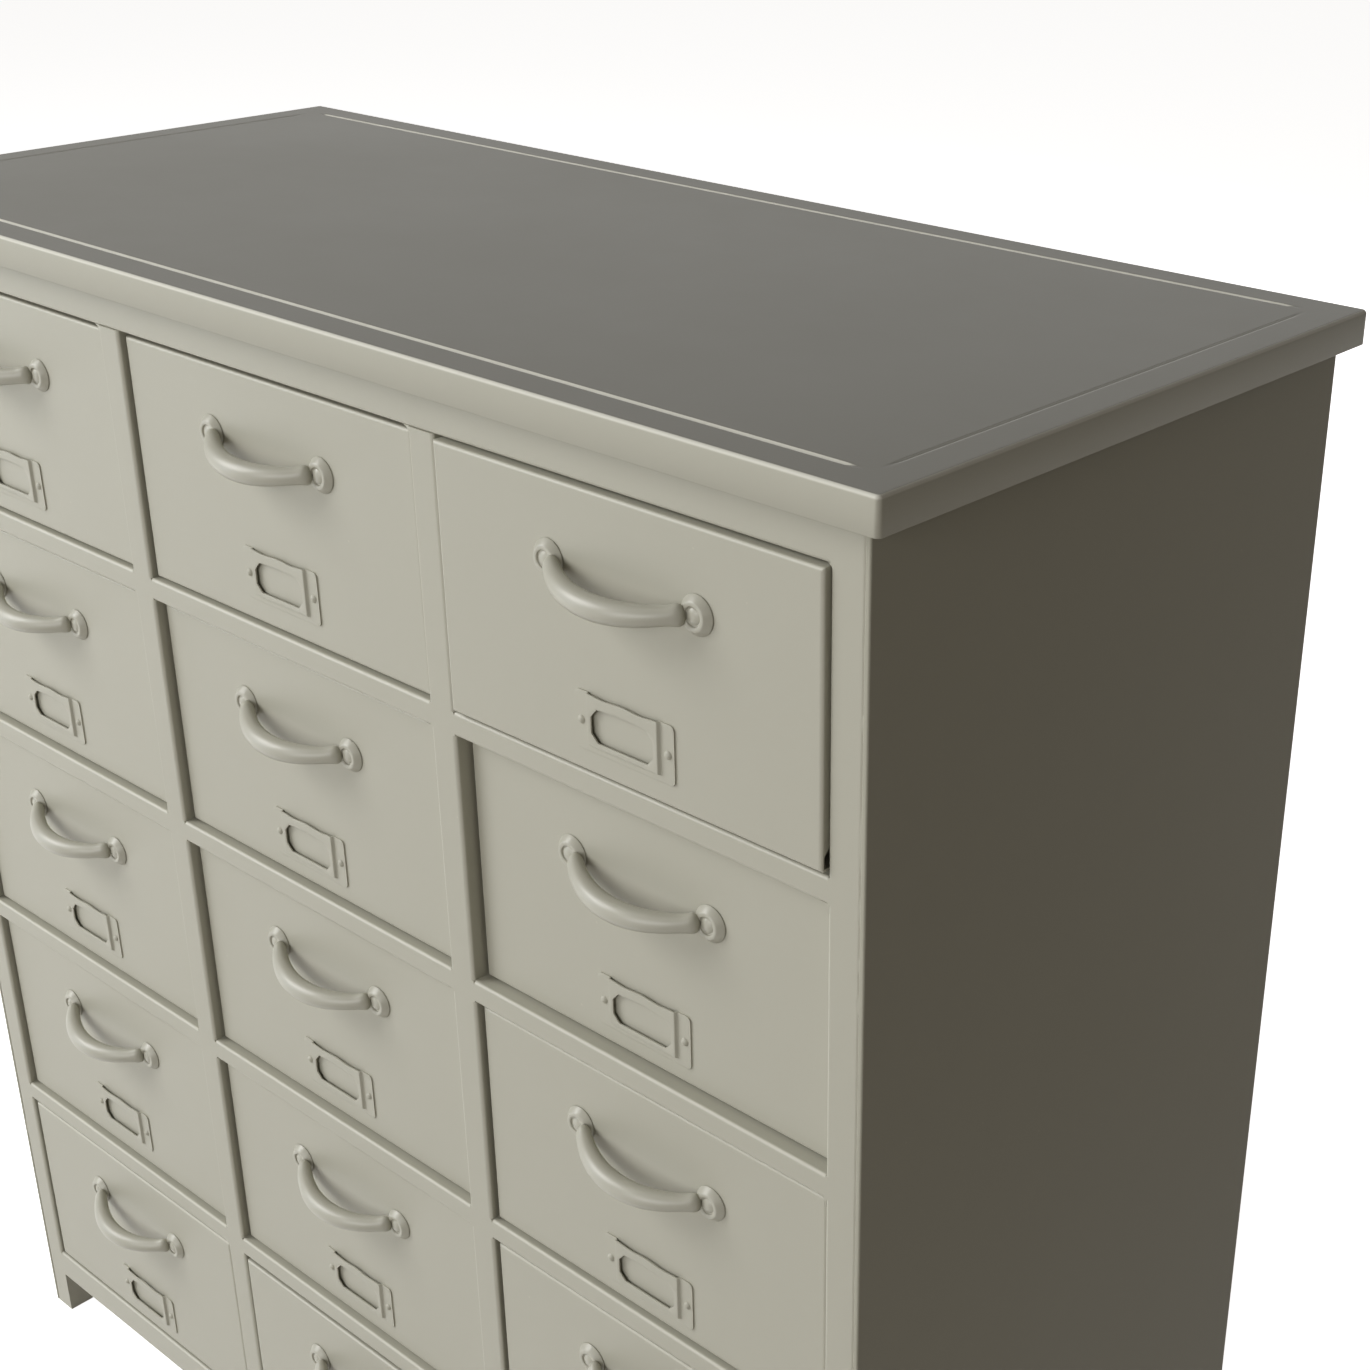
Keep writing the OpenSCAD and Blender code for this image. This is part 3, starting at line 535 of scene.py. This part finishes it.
def grip(centre, tilt):
    """The bow. u runs from -1 to 1 as sin(t). x = half * u, the reach falls off as
    1 - |u|^(bow power), the droop as 1 - u^2. Radius = end + (mid - end)(1 - u^2), rounded
    off over the cap's share at each end, on rings square to the centre line that grow
    taller by flare * |u|^(flare power) where the bow runs into its ears."""
    half = PULL_CENTRES / 2 - ROOT_INSET
    nudge = 0.01

    def line(u):
        bow = 1 - np.abs(u) ** BOW_POWER
        return np.stack([half * u, -GRIP_ROOT - (GRIP_REACH - GRIP_ROOT) * bow,
                         -GRIP_DROOP * (1 - u * u)], -1)

    u = np.sin(np.linspace(-np.pi / 2, np.pi / 2, GRIP_RINGS))
    along = line(u + nudge) - line(u - nudge)
    along /= np.linalg.norm(along, axis=1, keepdims=True)
    across = np.cross([0, 0, 1], along)
    across /= np.linalg.norm(across, axis=1, keepdims=True)
    up = np.cross(along, across) * (1 + GRIP_FLARE * np.abs(u) ** FLARE_POWER)[:, None]
    over = np.clip((np.abs(u) - CAP_FROM) / CAP_SHARE, 0, 1)
    cap = np.sqrt(np.maximum(CAP_LEAST, 1 - over ** 2))
    radius = (GRIP_END_R + (GRIP_MID_R - GRIP_END_R) * (1 - u * u)) * cap
    angle = (np.arange(GRIP_SIDES) * 2 * np.pi / GRIP_SIDES)[None, :, None]
    ring = np.cos(angle) * across[:, None] + np.sin(angle) * up[:, None]
    return centre + tilted(line(u)[:, None] + radius[:, None, None] * ring, tilt)


def ear(centre):
    """A round boss, turned. Its profile goes from the recess floor up a fillet, over the
    inner rim and the round outer rim, and down a slope tangent to that rim."""
    rim = np.array([EAR_FACE_R - EAR_RIM_R, EAR_T - EAR_RIM_R])
    slope = np.array([EAR_R, EAR_SLOPE_FOOT]) - rim
    touch = math.degrees(math.atan2(slope[1], slope[0])
                         + math.acos(EAR_RIM_R / math.hypot(slope[0], slope[1])))
    return turned(np.vstack([
        [[HUB_R, EAR_FLOOR]],
        arc((EAR_RECESS_R - EAR_FILLET_R, EAR_FLOOR + EAR_FILLET_R), EAR_FILLET_R, -90, 0, 5),
        arc((EAR_RECESS_R + EAR_INNER_RIM_R, EAR_T - EAR_INNER_RIM_R), EAR_INNER_RIM_R,
            180, 90, 5),
        arc(rim, EAR_RIM_R, 90, touch, 7),
        np.array(EAR_EDGE) + [EAR_R, 0],
        [[HUB_R, SEAT]],
    ]), EAR_SIDES, centre)


def rivet(centre, head_r, dome, shank_r, tail_r, grip_length):
    """A domed head, a shank through the sheet and a flat set tail, turned as one profile:
    dome height falls from the middle as dome * (1 - (r / head)^(dome power))."""
    r = head_r * np.sin(np.linspace(HEAD_START, np.pi / 2, HEAD_POINTS))
    cap = np.stack([r, dome * (1 - (r / head_r) ** DOME_POWER)], -1)
    rest = [[head_r, -HEAD_EDGE / 2], [shank_r, -HEAD_EDGE], [shank_r, -grip_length],
            [tail_r - TAIL_EASE_IN, -grip_length], [tail_r, -grip_length - TAIL_EASE_OUT],
            [tail_r - TAIL_EASE_OUT, -grip_length - TAIL_T],
            [HUB_R / 2, -grip_length - TAIL_T]]
    return turned(np.vstack([cap, rest]), RIVET_SIDES, centre)


pull_enamel = enamel("pull_enamel", rough=0.36, gloss=0.65, drift=0.06, peel=520.0, edge=0)


def front_of(row, column):
    """Middle of a drawer front's face at the opening's lower edge. The drawer's lowest point
    is the stop tab, a fixed drop below that edge."""
    low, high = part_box(f"drawer_r{row}c{column}")
    return np.array([(low.x + high.x) / 2, low.y, low.z + TAB_DROP])


for row, column in CELLS:
    right, lift, tilt = PULL_FIT[row - 1][column - 1]
    seat = front_of(row, column) + [right / 1000, 0, PULL_Z + lift / 1000]
    shells = [closed_tube(grip(seat, tilt))]
    for side in (-1, 1):
        boss = seat + tilted([side * PULL_CENTRES / 2, 0, 0], tilt)
        shells.append(closed_tube(ear(boss)))
        shells.append(closed_tube(rivet(boss - [0, EAR_FLOOR + SEAT, 0], RIVET_R, RIVET_DOME,
                                        SHANK_R, TAIL_R, EAR_FLOOR + 2 * SEAT + SHEET_T)))
    pull = piece_of(f"bow_pull_r{row}c{column}", shells, pull_enamel)
    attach(pull, f"drawer_body_r{row}c{column}")
    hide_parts(f"pull_r{row}c{column}")


# ---- Card holders --------------------------------------------------------------------
# Thin stamped plates. The middle is pressed forward and open at the top, so a card
# slides in behind the window, and a small domed pin holds each flat ear.

HOLDER_Z = 0.0265
HOLDER_W, HOLDER_LOW, HOLDER_TOP, HOLDER_CORNER_R = 0.0624, -0.0146, 0.0146, 0.0026
POCKET_W, POCKET_LOW, POCKET_RISE = 0.0452, -0.0110, 0.0016
WINDOW_W, WINDOW_H, WINDOW_CHAMFER, WINDOW_BOW = 0.0394, 0.0160, 0.0040, 0.0015
PLATE_T, PIN_CENTRES, RIM_DIP = 0.0008, 0.0548, 0.0007
PIN_HEAD_R, PIN_DOME, PIN_R, PIN_TAIL_R = 0.0022, 0.0013, 0.0012, 0.0020
# The pocket's walls rise over twice this width, and rows and columns lie at these steps.
WALL_HALF = 0.0006
WALL_STEPS = np.array([-0.0009, -0.0006, -0.0003, 0.0, 0.0003, 0.0006, 0.0009])
HOLDER_EDGE_R, HOLDER_EDGE_ANGLE = 0.0002, math.radians(50)
# Millimetres by which each holder sits to the right and up.
HOLDER_FIT = [
    [(-1.2, 0.2), (1.8, 1.6), (2.6, 2.0)],
    [(-2.6, 0.0), (-1.8, -1.4), (-1.7, -1.6)],
    [(1.2, 0.7), (1.5, 0.5), (-0.2, -2.8)],
    [(2.0, 1.5), (0.5, 0.0), (0.0, 0.0)],
    [(1.2, -1.5), (0.0, 0.0), (0.0, 0.0)],
]


def stamped_plate(centre):
    """Front face of the plate on a grid of columns x and rows z. Window rows follow its
    edge, half-height = H/2 less the chamfer's share of |x|, with the upper edge bowed up by
    bow * (1 - (2x / W)^2), and the plate's upper edge dips by dip * sin(pi x / half
    pocket)^2 on each side of the middle. The pocket stands forward by rise * step(side
    wall) * step(bottom wall). Faces inside the window are left out."""
    half_window, half_pocket, half_plate = WINDOW_W / 2, POCKET_W / 2, HOLDER_W / 2
    right = np.unique(np.concatenate([
        np.linspace(0, half_window - WINDOW_CHAMFER, 7),
        np.linspace(half_window - WINDOW_CHAMFER, half_window, 4),
        half_pocket + WALL_STEPS,
        np.linspace(half_pocket + 3 * WALL_HALF, half_plate - HOLDER_CORNER_R, 3),
        half_plate - HOLDER_CORNER_R * (1 - np.sin(np.radians([18, 36, 54, 72, 90]))),
    ]).round(7))
    x = np.concatenate([-right[:0:-1], right])
    cut = np.clip((np.abs(x) - half_window + WINDOW_CHAMFER) / WINDOW_CHAMFER, 0, 1)
    edge = WINDOW_H / 2 - cut * WINDOW_CHAMFER
    corner = np.clip((np.abs(x) - half_plate + HOLDER_CORNER_R) / HOLDER_CORNER_R, 0, 1)
    inset = HOLDER_CORNER_R * (1 - np.sqrt(np.maximum(0, 1 - corner ** 2)))
    dip = RIM_DIP * np.sin(np.pi * np.clip(np.abs(x) / half_pocket, 0, 1)) ** 2
    low, top = HOLDER_LOW + inset, HOLDER_TOP - inset - dip
    sill = -WINDOW_H / 2 - HOLDER_LOW
    share = np.concatenate([[0.0, 0.2], (POCKET_LOW + WALL_STEPS - HOLDER_LOW) / sill])
    lower = [low + sill * s * np.clip(1 - inset / HOLDER_CORNER_R, 0.2, 1) for s in share]
    head = edge + WINDOW_BOW * np.maximum(0, 1 - (x / half_window) ** 2)
    window = [-edge + (head + edge) * s for s in np.linspace(0, 1, 5)]
    upper = [head + (top - head) * s for s in (0.25, 0.5, 0.75, 1.0)]
    z = np.stack(lower + window + upper)
    side = smooth_step((half_pocket + WALL_HALF - np.abs(x)) / (2 * WALL_HALF))
    bottom = smooth_step((z - POCKET_LOW + WALL_HALF) / (2 * WALL_HALF))
    forward = PLATE_T + POCKET_RISE * side[None] * bottom
    points = centre + np.stack([np.broadcast_to(x, z.shape), -forward, z], -1)
    rows, columns = z.shape
    j, i = np.meshgrid(np.arange(rows - 1), np.arange(columns - 1), indexing="ij")
    middle = (x[:-1] + x[1:]) / 2
    in_window = (j >= len(lower)) & (j < len(lower) + len(window) - 1)
    here = (j * columns + i)[~(in_window & (np.abs(middle)[i] < half_window))]
    face = np.stack([here, here + 1, here + 1 + columns, here + columns], -1)
    return points.reshape(-1, 3), [face]


holder_enamel = enamel("holder_enamel", rough=0.45, drift=0.05, peel=520.0, edge=0)

for row, column in CELLS:
    right, lift = HOLDER_FIT[row - 1][column - 1]
    seat = front_of(row, column) + [right / 1000, 0, HOLDER_Z + lift / 1000]
    holder = piece_of(f"card_plate_r{row}c{column}", [stamped_plate(seat)], holder_enamel)
    thickness = holder.modifiers.new("sheet thickness", "SOLIDIFY")
    thickness.thickness = PLATE_T
    thickness.offset = -1.0
    thickness.use_even_offset = False
    rounding = holder.modifiers.new("painted edge", "BEVEL")
    rounding.width = HOLDER_EDGE_R
    rounding.segments = 2
    rounding.limit_method = "ANGLE"
    rounding.angle_limit = HOLDER_EDGE_ANGLE
    pins = piece_of(f"card_pins_r{row}c{column}", [
        closed_tube(rivet(seat + [side * PIN_CENTRES / 2, -PLATE_T - SEAT, 0], PIN_HEAD_R,
                          PIN_DOME, PIN_R, PIN_TAIL_R, PLATE_T + 2 * SEAT + SHEET_T))
        for side in (-1, 1)], holder_enamel)
    for piece in (holder, pins):
        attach(piece, f"drawer_body_r{row}c{column}")
    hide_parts(f"card_holder_r{row}c{column}")


# ---- Room ----------------------------------------------------------------------------
# A plain pale floor and background. A window-like softbox stands high on the left, one
# in front and one behind, with weak fills on both sides and weak light all round. The
# camera stands to the right of the cabinet and looks down on it.

FLOOR_HALF, FLOOR_DULL, FLOOR_WHITE = 30.0, (0.38, 0.34, 0.28, 1.0), (0.9, 0.9, 0.9, 1.0)
FLOOR_GLOW = 0.89
WORLD_LIGHT, WORLD_WHITE = (0.060, 0.049, 0.036, 1.0), (1.0, 1.0, 1.0, 1.0)


def seen_ray(tree):
    """1 for camera, glossy and transmission rays, to which the surroundings are white."""
    ray = tree.nodes.new("ShaderNodeLightPath")
    seen = maths(tree, "MAXIMUM", ray.outputs["Is Camera Ray"], ray.outputs["Is Glossy Ray"])
    return maths(tree, "MAXIMUM", seen, ray.outputs["Is Transmission Ray"])


def either_shader(tree, unseen, seen, surface):
    """The first shader for light that falls on the cabinet, the second for rays that see
    the surroundings."""
    either = tree.nodes.new("ShaderNodeMixShader")
    feed(tree, either.inputs[0], seen_ray(tree))
    feed(tree, either.inputs[1], unseen)
    feed(tree, either.inputs[2], seen)
    feed(tree, tree.nodes.new(surface).inputs["Surface"], either.outputs[0])


def coloured(tree, kind, colour):
    """The output of a shader node of that kind in a plain colour."""
    shader = tree.nodes.new(kind)
    shader.inputs["Color"].default_value = colour
    return shader.outputs[0]


def pale_floor(name):
    """White to the camera, with the cabinet's shadow. Other rays see a duller floor."""
    paint = bpy.data.materials.new(name)
    paint.use_nodes = True
    tree = paint.node_tree
    tree.nodes.clear()
    glow = tree.nodes.new("ShaderNodeEmission")
    glow.inputs["Strength"].default_value = FLOOR_GLOW
    lit = tree.nodes.new("ShaderNodeAddShader")
    feed(tree, lit.inputs[0], coloured(tree, "ShaderNodeBsdfDiffuse", FLOOR_WHITE))
    feed(tree, lit.inputs[1], glow.outputs[0])
    either_shader(tree, coloured(tree, "ShaderNodeBsdfDiffuse", FLOOR_DULL), lit.outputs[0],
                  "ShaderNodeOutputMaterial")
    return paint


floor_mesh = bpy.data.meshes.new("floor")
floor_mesh.from_pydata([(-FLOOR_HALF, -FLOOR_HALF, 0), (FLOOR_HALF, -FLOOR_HALF, 0),
                        (FLOOR_HALF, FLOOR_HALF, 0), (-FLOOR_HALF, FLOOR_HALF, 0)],
                       [], [(0, 1, 2, 3)])
floor_mesh.materials.append(pale_floor("floor_paint"))
floor = bpy.data.objects.new("floor", floor_mesh)
scene = bpy.context.scene
scene.collection.objects.link(floor)

room = bpy.data.worlds.new("room")
scene.world = room
room.use_nodes = True
room.node_tree.nodes.clear()
either_shader(room.node_tree, coloured(room.node_tree, "ShaderNodeBackground", WORLD_LIGHT),
              coloured(room.node_tree, "ShaderNodeBackground", WORLD_WHITE),
              "ShaderNodeOutputWorld")


def lamp(name, stand, aim, width, height, power, colour=(1.0, 1.0, 1.0)):
    """A rectangular softbox at stand, turned to face aim."""
    light = bpy.data.lights.new(name, "AREA")
    light.shape = "RECTANGLE"
    light.size, light.size_y = width, height
    light.energy = power
    light.color = colour
    softbox = bpy.data.objects.new(name, light)
    scene.collection.objects.link(softbox)
    softbox.location = stand
    away = np.array(stand) - np.array(aim)
    flat = math.hypot(away[0], away[1])
    softbox.rotation_euler = (math.atan2(flat, away[2]), 0.0, math.atan2(away[0], -away[1]))
    return softbox


lamp("window_softbox", (-2.6, -2.2, 2.6), (0.0, -0.1, 0.45), 2.0, 2.0, 96.0)
lamp("front_softbox", (0.3, -4.0, 1.7), (0.0, -0.1, 0.45), 2.6, 2.0, 66.0)
lamp("back_softbox", (0.0, 4.0, 0.8), (0.0, 0.1, 0.45), 1.6, 1.6, 50.0)
lamp("left_fill", (-3.2, -2.6, 0.8), (-0.3, -0.2, 0.3), 1.6, 1.6, 18.0, (0.78, 0.89, 1.0))
lamp("right_fill", (1.5, -1.5, 1.3), (0.4, 0.0, 0.6), 0.8, 0.8, 1.7, (1.0, 0.93, 0.84))

scene.view_settings.view_transform = "Standard"
eye = bpy.data.cameras.new("camera")
eye.sensor_width = 36.0
eye.lens = 56.63
eye.shift_x, eye.shift_y = -0.1022, 0.0377
camera = bpy.data.objects.new("camera", eye)
scene.collection.objects.link(camera)
camera.location = (0.8906, -0.7484, 1.1034)
camera.rotation_euler = (math.radians(64.198), math.radians(-0.380), math.radians(41.471))
scene.camera = camera
